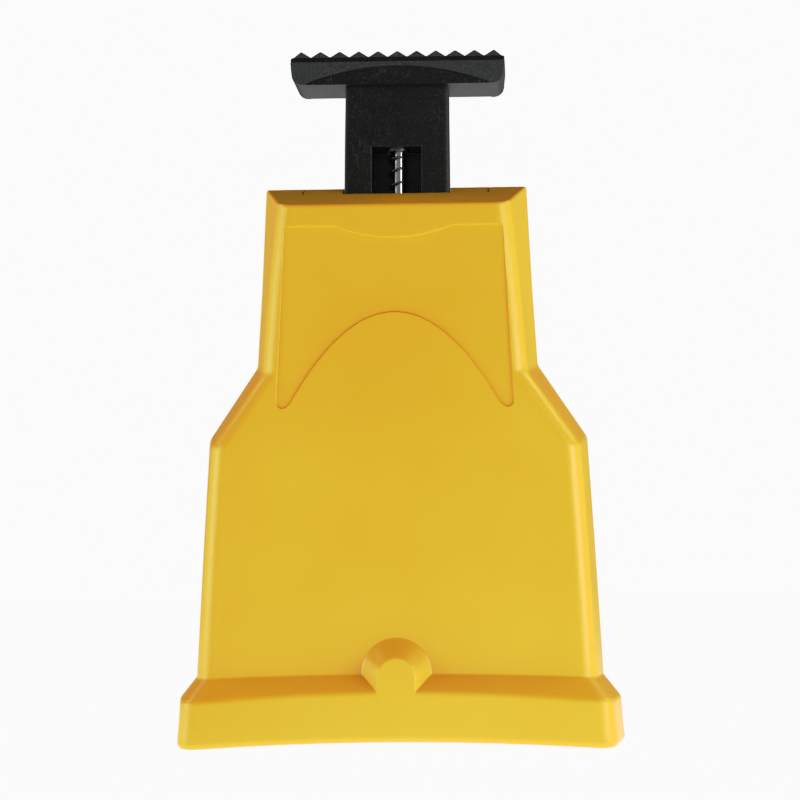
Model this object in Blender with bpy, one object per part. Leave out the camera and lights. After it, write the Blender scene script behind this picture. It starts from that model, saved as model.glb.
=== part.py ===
"""Bar-mount chain sharpener: hinged two-half housing, sprung push slide, stone.

Metres, +Z up, X across the width, -Y towards the front cover. z = 0 is the rim
the housing stands on. The parting plane of the two halves is y = 0.
"""
import math

import bmesh
import bpy
import numpy as np
from mathutils import Matrix, Vector

MM = 0.001

# ---- driving dimensions, millimetres --------------------------------------
GAP = 0.15            # half the gap at the parting plane
DRAFT = 0.14          # side draft of the body, width lost per depth
NECK_DRAFT = 0.12     # added to it by the top of the neck
BODY_D = 17.5         # half depth of the body
FLANGE_D = 21.5       # half depth of the foot flange
WALL = 2.5            # moulded wall
CORNER_R = 4.2        # front side corner radius
RIDGE_Z = 127.0       # top of the housing at the parting plane
TOP_DROP = 6.7        # fall of the top face from the ridge to the front face
FLANGE_W = 50.75      # half width of the flange

HINGE = Vector((0.0, -2.6, 123.6))
OPEN_DEG = 30.0       # how far the front cover swings
EAR_R = 3.9           # hinge barrel on the cover
LUG_R = 3.1           # hinge lug on the rear shell
LUG_X = (12.9, 21.1)
NOTCH = (21.45, 6.0)  # half width and depth of the notch in the cover's top
PIN_R = 1.0

PRESS = 12.0          # travel of the push slide
STEM_W = 12.2
STEM_D = 4.7
STEM_Z = (103.0, 151.0)
PAD_W = 24.9
PAD_D = 7.75
PAD_Z = (149.9, 156.3, 157.7)   # underside, valley, ridge
RIDGES = 11
RIDGE_PITCH = 4.42
WINDOW_W = 5.7
WINDOW_Z = (109.6, 135.9)
RIB_Z = (110.0, 113.4)          # fixed rib the spring stands on
ROD_R = 1.42
ROD_X = 0.4           # the rod stands a little right of the middle
SPRING_R = 1.84
WIRE_R = 0.25
SPRING_TURNS = 7.5

BAR_PIN_Z = (30.0, 60.0)
BAR_PIN_R = 3.0
BAR_GAP = 2.9         # half the space left for the guide bar
STONE_ARC_R = 41.0
STONE_APEX = 91.5
STONE_W = 21.0

# ring table of the moulded halves: z at the parting plane, half width there,
# half depth, fall from the parting plane to the front, bow (rise mid-front)
RINGS = [
    (0.0, 49.9, FLANGE_D - 0.8, 0.0, 0.0),
    (0.9, FLANGE_W, FLANGE_D, 0.0, 0.0),
    (10.3, 50.05, FLANGE_D, 0.0, 2.0),
    (15.1, 46.2, BODY_D, 0.0, 0.9),
    (44.7, 44.65, BODY_D, 0.0, 0.0),
    (68.9, 43.25, BODY_D, 2.9, 0.0),
    (85.5, 32.2, BODY_D, 3.1, 0.0),
    (103.0, 31.15, BODY_D, 0.0, 0.0),
    (RIDGE_Z, 30.1, BODY_D, TOP_DROP, 0.0),
]


def clear_scene():
    for ob in list(bpy.data.objects):
        bpy.data.objects.remove(ob, do_unlink=True)


def mesh_object(name, verts, faces, smooth=False):
    """Closed mesh from millimetre points, faces turned outward."""
    me = bpy.data.meshes.new(name)
    me.from_pydata([tuple(c * MM for c in v) for v in verts], [], faces)
    bm = bmesh.new()
    bm.from_mesh(me)
    bmesh.ops.recalc_face_normals(bm, faces=bm.faces)
    if bm.calc_volume(signed=True) < 0:
        bmesh.ops.reverse_faces(bm, faces=bm.faces)
    bm.to_mesh(me)
    bm.free()
    for p in me.polygons:
        p.use_smooth = smooth
    ob = bpy.data.objects.new(name, me)
    bpy.context.scene.collection.objects.link(ob)
    return ob


def loft(name, rings):
    """Solid through rings of equal point count, capped at both ends."""
    n = len(rings[0])
    verts = [p for r in rings for p in r]
    faces = [tuple(range(n))]
    for k in range(len(rings) - 1):
        a, b = k * n, (k + 1) * n
        faces += [(a + i, a + (i + 1) % n, b + (i + 1) % n, b + i)
                  for i in range(n)]
    faces.append(tuple(range((len(rings) - 1) * n, len(rings) * n))[::-1])
    return mesh_object(name, verts, faces)


def box(lo, hi, name="tool"):
    xs, ys, zs = zip(lo, hi)
    rings = [[(xs[0], ys[0], z), (xs[1], ys[0], z), (xs[1], ys[1], z),
              (xs[0], ys[1], z)] for z in zs]
    return loft(name, rings)


def prism(points, axis, lo, hi, name="tool"):
    """Polygon extruded along axis; points are the other two coordinates."""
    def place(p, d):
        c = list(p)
        c.insert("xyz".index(axis), d)
        return tuple(c)
    return loft(name, [[place(p, d) for p in points] for d in (lo, hi)])


def turned(axis, centre, profile, seg=28, name="tool"):
    """Round solid: profile is (position along axis, radius) in order."""
    i = "xyz".index(axis)
    j, k = [m for m in range(3) if m != i]
    rings = []
    for pos, r in profile:
        ring = []
        for s in range(seg):
            a = 2 * math.pi * s / seg
            p = [0.0, 0.0, 0.0]
            p[i] = pos
            p[j] = centre[j] + r * math.cos(a)
            p[k] = centre[k] + r * math.sin(a)
            ring.append(tuple(p))
        rings.append(ring)
    ob = loft(name, rings)
    for p in ob.data.polygons:
        p.use_smooth = len(p.vertices) == 4
    return ob


def cyl(axis, centre, lo, hi, r, seg=28, name="tool"):
    return turned(axis, centre, [(lo, r), (hi, r)], seg, name)


def apply_boolean(ob, tool, op):
    m = ob.modifiers.new("b", "BOOLEAN")
    m.operation = op
    m.solver = "EXACT"
    m.object = tool
    dg = bpy.context.evaluated_depsgraph_get()
    me = bpy.data.meshes.new_from_object(ob.evaluated_get(dg))
    ob.modifiers.clear()
    ob.data = me
    bpy.data.objects.remove(tool, do_unlink=True)
    return ob


def cut(ob, *tools):
    for t in tools:
        apply_boolean(ob, t, "DIFFERENCE")
    return ob


def add(ob, *tools):
    for t in tools:
        apply_boolean(ob, t, "UNION")
    return ob


def finish(ob, name, material, origin=None):
    ob.name = name
    ob.data.name = name
    ob.data.materials.clear()
    ob.data.materials.append(material)
    if origin is not None:
        o = Vector(origin) * MM
        ob.data.transform(Matrix.Translation(-o))
        ob.location = o
    return ob


def material(name, rgb, rough, metal=0.0):
    m = bpy.data.materials.new(name)
    m.use_nodes = True
    b = m.node_tree.nodes["Principled BSDF"]
    b.inputs["Base Color"].default_value = (*rgb, 1.0)
    b.inputs["Roughness"].default_value = rough
    b.inputs["Metallic"].default_value = metal
    return m


# ---- moulded halves ---------------------------------------------------------
def side_draft(z):
    """Width lost per depth at a height: the neck tapers more than the body."""
    return DRAFT + NECK_DRAFT * min(max((z - 70.0) / 57.0, 0.0), 1.0)


def half_ring(z, w, depth, fall, bow, side, y0, radius=CORNER_R):
    """One ring of a half: side is -1 (front) or +1 (rear)."""
    draft = side_draft(z)
    e = w - draft * depth
    tilt = math.atan(draft)
    t = radius * math.tan((math.pi / 2 - tilt) / 2)
    cx, cy = e - t, depth - radius
    pts = [(w - draft * y0, y0), (w - draft * depth * 0.45, depth * 0.45)]
    for k in range(5):
        a = tilt + (math.pi / 2 - tilt) * k / 4
        pts.append((cx + radius * math.cos(a), cy + radius * math.sin(a)))
    inner = [(cx * (1 - 2 * k / 8.0), depth) for k in range(1, 8)]
    pts = pts + inner + [(-x, y) for x, y in reversed(pts)]
    flat = 43.0
    out = []
    for x, y in pts:
        rise = bow * max(0.0, 1.0 - (x / flat) ** 2) * (y > depth * 0.5)
        out.append((x, side * y, z - fall * y / BODY_D + rise))
    return out if side < 0 else out[::-1]


def half_solid(side, inset=0.0):
    rings = []
    y0 = GAP if inset == 0.0 else -1.0
    for i, (z, w, d, fall, bow) in enumerate(RINGS):
        if inset == 0.0:
            rings.append(half_ring(z, w, d, fall, bow, side, y0))
            continue
        last = i == len(RINGS) - 1
        z_in = z - 3.3 if last else z
        rings.append(half_ring(z_in, w - inset - 0.2, d - inset, fall, 0.0,
                               side, y0, CORNER_R - 1.8))
    if inset:
        low = half_ring(-2.0, RINGS[1][1] - inset - 0.2, FLANGE_D - inset,
                        0.0, 0.0, side, y0, CORNER_R - 1.8)
        rings[0] = half_ring(1.0, RINGS[1][1] - inset - 0.2, FLANGE_D - inset,
                             0.0, 0.0, side, y0, CORNER_R - 1.8)
        rings[1] = half_ring(6.0, RINGS[1][1] - inset - 0.2, FLANGE_D - inset,
                             0.0, 0.0, side, y0, CORNER_R - 1.8)
        rings.insert(0, low)
    return loft("half", rings)


def rim_arc():
    """Tool that hollows the rim upwards between the flat ends."""
    pts = [(-43.6, -1.0)]
    for k in range(13):
        x = -43.6 + 87.2 * k / 12
        pts.append((x, 1.52 * (1 - (x / 43.6) ** 2) - 0.06))
    pts.append((43.6, -1.0))
    return prism(pts, "y", -30.0, 30.0)


def hinge_barrel(r, x0, x1):
    return cyl("x", HINGE, x0, x1, r, 28)


def both(fn):
    """A tool on the right and its mirror on the left."""
    return [fn(1), fn(-1)]


def span(s, a, b):
    return (min(s * a, s * b), max(s * a, s * b))


def label_outline():
    """Recessed field on the front face: x, z."""
    pts = [(24.5, 115.5), (13.4, 115.5)]
    for k in range(1, 8):
        x = 13.4 - 26.8 * k / 8
        pts.append((x, 115.5 - 2.65 * (1 - (x / 13.4) ** 2)))
    pts += [(-13.4, 115.5), (-24.5, 115.5), (-26.5, 77.2), (-26.1, 76.2),
            (-25.2, 75.8), (-23.6, 76.2)]
    for k in range(0, 13):
        x = -22.8 + 45.6 * k / 12
        pts.append((x, 96.1 - 0.0375 * x * x))
    pts += [(23.6, 76.2), (25.2, 75.8), (26.1, 76.2), (26.5, 77.2)]
    return pts


def tongue():
    """Tapered tongue at mid width: a half round over straight sides."""
    rings = []
    for y, r, centre in ((-FLANGE_D - 0.03, 4.1, 15.55), (-17.2, 7.75, 16.3)):
        arc = [(r * math.cos(a), centre + r * math.sin(a))
               for a in [math.pi * k / 18 for k in range(19)]]
        rings.append([(x, y, z) for x, z in [(r, 6.0)] + arc + [(-r, 6.0)]])
    return loft("tool", rings)


def front_cover(mat):
    ob = half_solid(-1)
    cut(ob, half_solid(-1, WALL), rim_arc())
    # raised tongue of the flange at mid width
    add(ob, tongue())
    cut(ob, prism(label_outline(), "y", -BODY_D - 1.0, -BODY_D + 0.5))
    # sockets for the two bar pins
    for z in BAR_PIN_Z:
        add(ob, cyl("y", (0, 0, z), -BODY_D + 1.2, -BAR_GAP, 6.8))
        cut(ob, cyl("y", (0, 0, z), -9.5, 0.0, 5.3))
    # notch for the rear lugs and the stem, barrel ears either side
    cut(ob, box((-NOTCH[0], -NOTCH[1], 114.0), (NOTCH[0], 3.0, 130.0)))
    r = EAR_R - 0.3
    corner = [(HINGE.y + r * math.cos(a), HINGE.z + r * math.sin(a))
              for a in [math.pi / 2 * k / 6 for k in range(7)]]
    corner += [(HINGE.y, 131.0), (HINGE.y + EAR_R, 131.0),
               (HINGE.y + EAR_R, HINGE.z - 0.2)]
    cut(ob, prism(corner, "x", -35.0, 35.0))
    for s in (1, -1):
        lo, hi = span(s, NOTCH[0] + 0.15, 28.2)
        add(ob, trim_top(hinge_barrel(EAR_R, lo, hi), -0.06))
        lo, hi = span(s, 10.0, 28.8)
        cut(ob, hinge_barrel(PIN_R + 0.15, lo, hi))
    return finish(ob, "front_cover", mat, HINGE)


def trim_top(ob, lift=0.0):
    """Cut a solid off at the housing's sloping top face."""
    k = TOP_DROP / BODY_D
    wedge = [(-20.0, RIDGE_Z - 20 * k + lift), (0.0, RIDGE_Z + lift),
             (20.0, RIDGE_Z - 20 * k + lift), (20.0, 140.0), (-20.0, 140.0)]
    return cut(ob, prism(wedge, "x", -40.0, 40.0))


def rear_shell(mat):
    ob = half_solid(1)
    cut(ob, half_solid(1, WALL), rim_arc())
    # U channel that guides the stem, tied to the back wall
    for s in (1, -1):
        lo, hi = span(s, STEM_W + 0.4, 19.6)
        add(ob, box((lo, GAP, 104.0), (hi, BODY_D - 1.0, 119.4)),
            box((lo, -5.05, 104.0), (hi, GAP + 1.0, 117.6)))
    add(ob, box((-13.6, STEM_D + 0.3, 104.0), (13.6, 7.2, 123.5)),
        box((-13.6, 7.0, 104.0), (-11.6, BODY_D - 1.0, 119.4)),
        box((11.6, 7.0, 104.0), (13.6, BODY_D - 1.0, 119.4)))
    # opening in the top for the stem
    cut(ob, box((-STEM_W - 0.4, -6.0, 118.0),
                (STEM_W + 0.4, STEM_D + 0.3, 130.0)))
    # rib that reaches into the stem's window and carries the spring
    add(ob, box((-3.7, 2.0, RIB_Z[0]), (3.7, STEM_D + 1.0, RIB_Z[1])),
        box((-5.2, -3.6, RIB_Z[0]), (5.2, 3.05, RIB_Z[1])))
    cut(ob, cyl("z", (ROD_X, 0, 0), RIB_Z[0] - 1, RIB_Z[1] + 1, ROD_R + 0.35))
    # seats for the two bar pins, and screw recesses in the back
    for z in BAR_PIN_Z:
        add(ob, cyl("y", (0, 0, z), BAR_GAP, BODY_D - 1.2, 6.8))
        cut(ob, cyl("y", (0, 0, z), 0.0, 12.3, BAR_PIN_R + 0.15),
            cyl("y", (0, 0, z), 12.0, BODY_D + 1.0, 2.2, 20),
            cyl("y", (0, 0, z), BODY_D - 2.0, BODY_D + 1.0, 4.0))
    # hinge: relief for the cover's barrels, then the two lugs
    cut(ob, hinge_barrel(EAR_R + 0.3, -35.0, -LUG_X[1] - 0.15),
        hinge_barrel(EAR_R + 0.3, LUG_X[1] + 0.15, 35.0))
    lug = [(4.0, HINGE.z - LUG_R + 0.3)]
    lug += [(HINGE.y + LUG_R * math.cos(a), HINGE.z + LUG_R * math.sin(a))
            for a in [math.radians(268 - 16 * k) for k in range(6)]]
    # flush with the cover's sloping top, so the joint reads as one face
    lug += [(-5.66, RIDGE_Z - 2.3), (0.0, RIDGE_Z - 0.15), (4.0, RIDGE_Z - 2.1)]
    for s in (1, -1):
        add(ob, prism(lug, "x", *span(s, *LUG_X)))
        lo, hi = span(s, 13.0, 27.9)
        cut(ob, hinge_barrel(PIN_R + 0.15, lo, hi))
    # pilot holes for the guide plate's screws
    for s in (1, -1):
        cut(ob, cyl("y", (s * 16.1, 0, 111.0), -6.0, 4.0, 1.5, 20))
    return finish(ob, "rear_shell", mat)


# ---- push slide -------------------------------------------------------------
def push_slide(mat):
    b, c = 1.3, 0.9
    plan = [(-STEM_W + b, -STEM_D), (STEM_W - b, -STEM_D),
            (STEM_W, -STEM_D + c), (STEM_W, STEM_D - c),
            (STEM_W - b, STEM_D), (-STEM_W + b, STEM_D),
            (-STEM_W, STEM_D - c), (-STEM_W, -STEM_D + c)]
    ob = prism(plan, "z", *STEM_Z)
    under, valley, peak = PAD_Z
    outline = []
    for k in range(5):
        a = -math.pi / 2 + math.pi / 2 * k / 4
        outline.append((PAD_W - 3.2 + 2.4 * math.cos(a),
                        under + 2.4 + 2.4 * math.sin(a)))
    outline.append((PAD_W, valley - 0.4))
    edge = RIDGE_PITCH * RIDGES / 2
    outline.append((edge, valley))
    for k in range(RIDGES):
        x = edge - RIDGE_PITCH * k
        outline += [(x - RIDGE_PITCH / 2, peak), (x - RIDGE_PITCH, valley)]
    outline.append((-PAD_W, valley - 0.4))
    for k in range(5):
        a = math.pi + math.pi / 2 * k / 4
        outline.append((-PAD_W + 3.2 + 2.4 * math.cos(a),
                        under + 2.4 + 2.4 * math.sin(a)))
    add(ob, prism(outline, "y", -PAD_D, PAD_D))
    # scooped arch in the pad's front and back faces
    arch = [(-20.8, under - 1.0)]
    for k in range(11):
        x = -20.8 + 41.6 * k / 10
        arch.append((x, under + 4.2 * (1 - (x / 20.8) ** 2)))
    arch.append((20.8, under - 1.0))
    cut(ob, prism(arch, "y", -PAD_D - 1, -PAD_D + 0.7),
        prism(arch, "y", PAD_D - 0.7, PAD_D + 1))
    # window pocket, open to the front; slot behind it for the fixed rib
    cut(ob, box((-WINDOW_W, -STEM_D - 1, WINDOW_Z[0]),
                (WINDOW_W, 3.4, WINDOW_Z[1])),
        box((-4.1, 3.0, WINDOW_Z[0]), (4.1, STEM_D + 1, 125.8)))
    # rod bores above and below the window, clip recess, screw pilots
    cut(ob, cyl("z", (ROD_X, 0, 0), WINDOW_Z[1] - 1, 138.8, ROD_R + 0.12, 24),
        cyl("z", (ROD_X, 0, 0), STEM_Z[0] - 1, WINDOW_Z[0] + 1, ROD_R + 0.12, 24),
        cyl("z", (ROD_X, 0, 0), STEM_Z[0] - 1, 105.0, 3.8, 32))
    for x in (-8.5, 8.5):
        cut(ob, cyl("z", (x, 0, 0), STEM_Z[0] - 1, 109.5, 1.5, 20))
    return finish(ob, "push_slide", mat, (0, 0, STEM_Z[0]))


def helix(name, radius, wire, z0, z1, turns, per_turn=12, ring=6):
    """Right-handed coil with the end turns closed up."""
    steps = int(turns * per_turn)
    ts = np.linspace(0.0, 1.0, steps + 1)
    end = 1.0 / turns
    pts = []
    for t in ts:
        # flatter pitch over the first and last turn
        lead = np.interp(t, [0, end, 1 - end, 1],
                         [0, 0.55 * end, 1 - 0.55 * end, 1])
        a = 2 * math.pi * turns * t
        pts.append(Vector((ROD_X + radius * math.cos(a), radius * math.sin(a),
                           z0 + wire + (z1 - z0 - 2 * wire) * lead)))
    rings = []
    for i, p in enumerate(pts):
        d = (pts[min(i + 1, steps)] - pts[max(i - 1, 0)]).normalized()
        out = Vector((p.x - ROD_X, p.y, 0)).normalized()
        side = d.cross(out).normalized()
        rings.append([tuple(p + wire * (math.cos(b) * out + math.sin(b) * side))
                      for b in [2 * math.pi * k / ring for k in range(ring)]])
    ob = loft(name, rings)
    for f in ob.data.polygons:
        f.use_smooth = True
    return ob


def ring_washer(z0, z1, r_in, r_out, name="tool"):
    ob = cyl("z", (ROD_X, 0, 0), z0, z1, r_out, 32, name)
    return cut(ob, cyl("z", (ROD_X, 0, 0), z0 - 1, z1 + 1, r_in, 32))


def screw(axis, centre, head, tip, r, head_r, head_h):
    """Pan head screw; head and tip are positions along the axis."""
    s = 1 if tip > head else -1
    return turned(axis, centre, [(head, head_r * 0.72),
                                 (head + s * head_h * 0.45, head_r),
                                 (head + s * head_h, head_r),
                                 (head + s * (head_h + 0.01), r),
                                 (tip - s * r * 0.7, r), (tip, r * 0.35)], 16)


def stone(mat):
    pts = [(-STONE_W, 97.2)]
    for k in range(17):
        x = -STONE_W + 2 * STONE_W * k / 16
        pts.append((x, STONE_APEX - STONE_ARC_R +
                    math.sqrt(STONE_ARC_R ** 2 - x * x)))
    pts.append((STONE_W, 97.2))
    ob = prism(pts, "y", -3.4, 3.2)
    return finish(ob, "sharpening_stone", mat, (0, 0, 97.2))


def stone_carrier(mat):
    ob = box((-24.0, -STEM_D, 97.5), (24.0, STEM_D, 102.7))
    add(ob, box((-24.0, 3.5, 88.0), (24.0, STEM_D, 98.0)))
    for s in (1, -1):
        lo, hi = span(s, STONE_W + 0.3, 24.0)
        add(ob, box((lo, -3.6, 86.0), (hi, STEM_D, 98.0)))
    # relief under the back skirt so that it clears the chain
    arc = [(-21.2, 80.0)]
    for k in range(13):
        x = -21.2 + 42.4 * k / 12
        arc.append((x, STONE_APEX + 1.6 - STONE_ARC_R +
                    math.sqrt(STONE_ARC_R ** 2 - x * x)))
    arc.append((21.2, 80.0))
    cut(ob, prism(arc, "y", 3.4, STEM_D + 1))
    for x in (-8.5, 8.5):
        cut(ob, cyl("z", (x, 0, 0), 97.0, 104.0, 1.7, 20),
            cyl("z", (x, 0, 0), 96.0, 100.0, 3.0, 24))
    for x in (-18.0, 18.0):
        cut(ob, cyl("y", (x, 0, 100.2), -STEM_D - 1, 1.5, 1.2, 16))
    return finish(ob, "stone_carrier", mat, (0, 0, 97.5))


def stone_keeper(mat):
    pts = [(-22.5, 102.0)]
    for k in range(13):
        x = -22.5 + 45.0 * k / 12
        pts.append((x, STONE_APEX + 2.4 - STONE_ARC_R +
                    math.sqrt(STONE_ARC_R ** 2 - x * x)))
    pts.append((22.5, 102.0))
    ob = prism(pts, "y", -5.75, -4.95)
    for x in (-18.0, 18.0):
        cut(ob, cyl("y", (x, 0, 100.2), -7.0, -4.0, 1.3, 16))
    return finish(ob, "stone_keeper", mat, (0, 0, 100.2))


def guide_plate(mat):
    ob = box((-19.2, -6.9, 105.0), (19.2, -5.2, 117.0))
    for x in (-16.1, 16.1):
        cut(ob, cyl("y", (x, 0, 111.0), -8.0, -4.0, 1.6, 20))
    return finish(ob, "guide_plate", mat)


def bar_pin(name, z, mat):
    ob = turned("y", (0, 0, z), [(-8.0, 2.1), (-7.0, BAR_PIN_R - 0.1),
                                 (-6.2, BAR_PIN_R), (12.0, BAR_PIN_R)], 32)
    cut(ob, cyl("y", (0, 0, z), 5.0, 13.0, 1.9, 20))
    return finish(ob, name, mat)


def socket_bush(name, z, mat):
    ob = cyl("y", (0, 0, z), -9.3, -3.0, 5.0, 36)
    cut(ob, cyl("y", (0, 0, z), -10.0, -2.0, BAR_PIN_R + 0.5, 36))
    return finish(ob, name, mat, HINGE)


def build():
    clear_scene()
    yellow = material("housing_yellow", (0.78, 0.50, 0.035), 0.38)
    yellow_b = material("cover_yellow", (0.79, 0.51, 0.035), 0.38)
    black = material("slide_black", (0.018, 0.019, 0.019), 0.55)
    black_b = material("carrier_black", (0.022, 0.022, 0.024), 0.5)
    steel = material("pin_steel", (0.55, 0.55, 0.56), 0.32, 1.0)
    zinc = material("screw_zinc", (0.62, 0.63, 0.66), 0.3, 1.0)
    chrome = material("rod_chrome", (0.78, 0.79, 0.8), 0.12, 1.0)
    spring_m = material("spring_wire", (0.24, 0.24, 0.25), 0.35, 1.0)
    washer_m = material("washer_steel", (0.5, 0.5, 0.52), 0.35, 1.0)
    plate_m = material("keeper_steel", (0.48, 0.49, 0.5), 0.4, 1.0)
    brass_m = material("bush_brass", (0.62, 0.45, 0.18), 0.35, 1.0)
    stone_m = material("stone_abrasive", (0.62, 0.28, 0.20), 0.92)

    # rear half
    rear_shell(yellow)
    guide_plate(plate_m)
    for side, x in (("left", -16.1), ("right", 16.1)):
        finish(screw("y", (x, 0, 111.0), -8.75, 2.6, 1.25, 2.5, 1.55),
               "guide_plate_screw_" + side, zinc)
    for name, z in zip(("bar_pin_lower", "bar_pin_upper"), BAR_PIN_Z):
        bar_pin(name, z, steel)
    for name, z in zip(("bar_pin_screw_lower", "bar_pin_screw_upper"),
                       BAR_PIN_Z):
        finish(screw("y", (0, 0, z), BODY_D - 0.1, 6.4, 1.6, 3.5, 1.6),
               name, zinc)
    for name, s in (("hinge_pin_left", -1), ("hinge_pin_right", 1)):
        lo, hi = span(s, 13.4, 27.6)
        finish(cyl("x", HINGE, lo, hi, PIN_R, 20), name, steel, HINGE)
    finish(ring_washer(RIB_Z[1] + 0.1, RIB_Z[1] + 0.6, ROD_R + 0.3, 3.0),
           "spring_seat", washer_m)
    finish(helix("return_spring", SPRING_R, WIRE_R, RIB_Z[1] + 0.65,
                 WINDOW_Z[1] - 0.65, SPRING_TURNS),
           "return_spring", spring_m, (0, 0, RIB_Z[1] + 0.6))

    # front half
    front_cover(yellow_b)
    for name, z in zip(("socket_bush_lower", "socket_bush_upper"), BAR_PIN_Z):
        socket_bush(name, z, brass_m)

    # push slide
    push_slide(black)
    rod = turned("z", (ROD_X, 0, 0), [(103.3, 1.1), (103.6, ROD_R), (103.85, ROD_R),
                                  (103.86, 1.1), (104.8, 1.1), (104.81, ROD_R),
                                  (138.2, ROD_R), (138.5, 1.1)], 28)
    finish(rod, "spring_rod", chrome, (0, 0, 103.3))
    clip = ring_washer(104.05, 104.6, 1.3, 3.3)
    cut(clip, box((ROD_X - 0.9, 0.0, 103.0), (ROD_X + 0.9, 4.0, 106.0)))
    finish(clip, "rod_clip", washer_m, (0, 0, 104.05))
    finish(ring_washer(WINDOW_Z[1] - 0.6, WINDOW_Z[1] - 0.1, ROD_R + 0.3, 2.7),
           "spring_cap", washer_m, (0, 0, WINDOW_Z[1] - 0.6))
    stone_carrier(black_b)
    stone(stone_m)
    for side, x in (("left", -8.5), ("right", 8.5)):
        finish(screw("z", (x, 0, 0), 97.8, 108.6, 1.25, 2.7, 2.0),
               "carrier_screw_" + side, zinc, (x, 0, 97.8))
    stone_keeper(plate_m)
    for side, x in (("left", -18.0), ("right", 18.0)):
        finish(screw("y", (x, 0, 100.2), -7.05, 0.9, 0.95, 1.9, 1.0),
               "keeper_screw_" + side, zinc, (x, 0, 100.2))


build()
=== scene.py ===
import math

import bmesh
import bpy
import numpy as np
from mathutils import Matrix, Vector


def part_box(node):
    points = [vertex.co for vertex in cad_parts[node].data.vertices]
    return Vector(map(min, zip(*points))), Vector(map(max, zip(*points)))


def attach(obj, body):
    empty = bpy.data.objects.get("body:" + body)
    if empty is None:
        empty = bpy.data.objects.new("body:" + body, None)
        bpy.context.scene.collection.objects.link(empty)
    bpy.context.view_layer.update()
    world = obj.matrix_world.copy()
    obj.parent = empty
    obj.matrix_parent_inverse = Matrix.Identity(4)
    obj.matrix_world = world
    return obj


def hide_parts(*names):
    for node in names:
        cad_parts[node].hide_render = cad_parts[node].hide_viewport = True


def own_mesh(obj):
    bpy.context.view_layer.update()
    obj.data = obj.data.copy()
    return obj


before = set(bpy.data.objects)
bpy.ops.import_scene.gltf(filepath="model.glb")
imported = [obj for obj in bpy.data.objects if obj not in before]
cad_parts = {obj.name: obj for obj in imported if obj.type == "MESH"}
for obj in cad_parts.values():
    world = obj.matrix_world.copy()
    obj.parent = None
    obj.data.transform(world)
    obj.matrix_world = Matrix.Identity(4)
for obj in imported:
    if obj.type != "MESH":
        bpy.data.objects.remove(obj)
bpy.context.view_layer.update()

MM = 0.001

# ---- dimensions of the moulded halves, millimetres ----
GAP = 0.15            # half the gap at the parting plane
DRAFT = 0.14          # side draft of the body, width lost per depth
NECK_DRAFT = 0.12     # added to it by the top of the neck
BODY_D = 17.5         # half depth of the body
FLANGE_D = 21.5       # half depth of the foot flange
FLANGE_W = 50.75      # half width of the foot flange
WALL = 2.5            # moulded wall
CORNER_R = 4.2        # radius of the upright corners
RIDGE_Z = 127.0       # top of the housing at the parting plane
TOP_DROP = 6.7        # fall of the top face to the front and back
HINGE = Vector((0.0, -2.6, 123.6))
EAR_R = 3.9           # the cover's hinge barrels
LUG_R = 3.1           # the rear shell's hinge lugs
LUG_X = (12.4, 21.1)
NOTCH = (21.45, 6.0)  # half width and depth of the notch in the cover
PIN_R = 1.0
PIN_FIT = 0.15        # room round pins and beside the lugs
BARREL_FIT = 0.3      # room round the hinge barrels
BAR_PIN_Z = (30.0, 60.0)
BAR_PIN_R = 3.0
BAR_GAP = 2.9         # from the parting plane to the end of a boss
BOSS_R = 6.8
CHANNEL_Z = 104.0     # lower end of the channel that guides the stem
CHANNEL_W = (11.6, 13.6)
GUIDE_SCREW = (16.1, 111.0)     # x and z
KEEPER_SCREW = (18.0, 100.2)    # x and z
CARRIER_SCREW_X = 8.5
ARCH = (43.6, 1.45)   # half width and height of the hollowed rim
RIM_R = 1.4           # rounding of the rim
TOP_R = 0.55          # rounding of the top edge

# z at the parting plane, half width, half depth, fall to the front, bow,
# rounding taken along each side of the knot
KNOTS = [
    (0.0, FLANGE_W, FLANGE_D, 0.0, 0.0, 0.0),
    (10.3, 50.05, FLANGE_D, 0.0, 2.0, 0.8),
    (15.1, 46.2, BODY_D, 0.0, 0.9, 0.35),
    (44.7, 44.65, BODY_D, 0.0, 0.0, 0.0),
    (68.9, 43.25, BODY_D, 2.9, 0.0, 0.9),
    (85.5, 32.2, BODY_D, 3.1, 0.0, 0.7),
    (103.0, 31.15, BODY_D, 0.0, 0.0, 0.0),
    (127.0, 30.1, BODY_D, 6.7, 0.0, 0.0),
]
# the hollow: z, half width, half depth and fall, before the wall is taken off
CAVITY = [
    (-2.0, FLANGE_W, FLANGE_D, 0.0), (1.0, FLANGE_W, FLANGE_D, 0.0),
    (6.0, FLANGE_W, FLANGE_D, 0.0), (10.3, 50.05, FLANGE_D, 0.0),
    (15.1, 46.2, BODY_D, 0.0), (44.7, 44.65, BODY_D, 0.0),
    (68.9, 43.25, BODY_D, 2.9), (85.5, 32.2, BODY_D, 3.1),
    (103.0, 31.15, BODY_D, 0.0), (123.7, 30.1, BODY_D, TOP_DROP),
]

# ---- label field ----
LABEL_W = 24.2        # half width
LABEL_TOP = 115.5
LABEL_DIP = (13.4, 2.65)        # half width and depth of the dip in its top
LABEL_TIP = (25.0, 76.15, 1.4)  # x, z and radius of its lower tips

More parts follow.
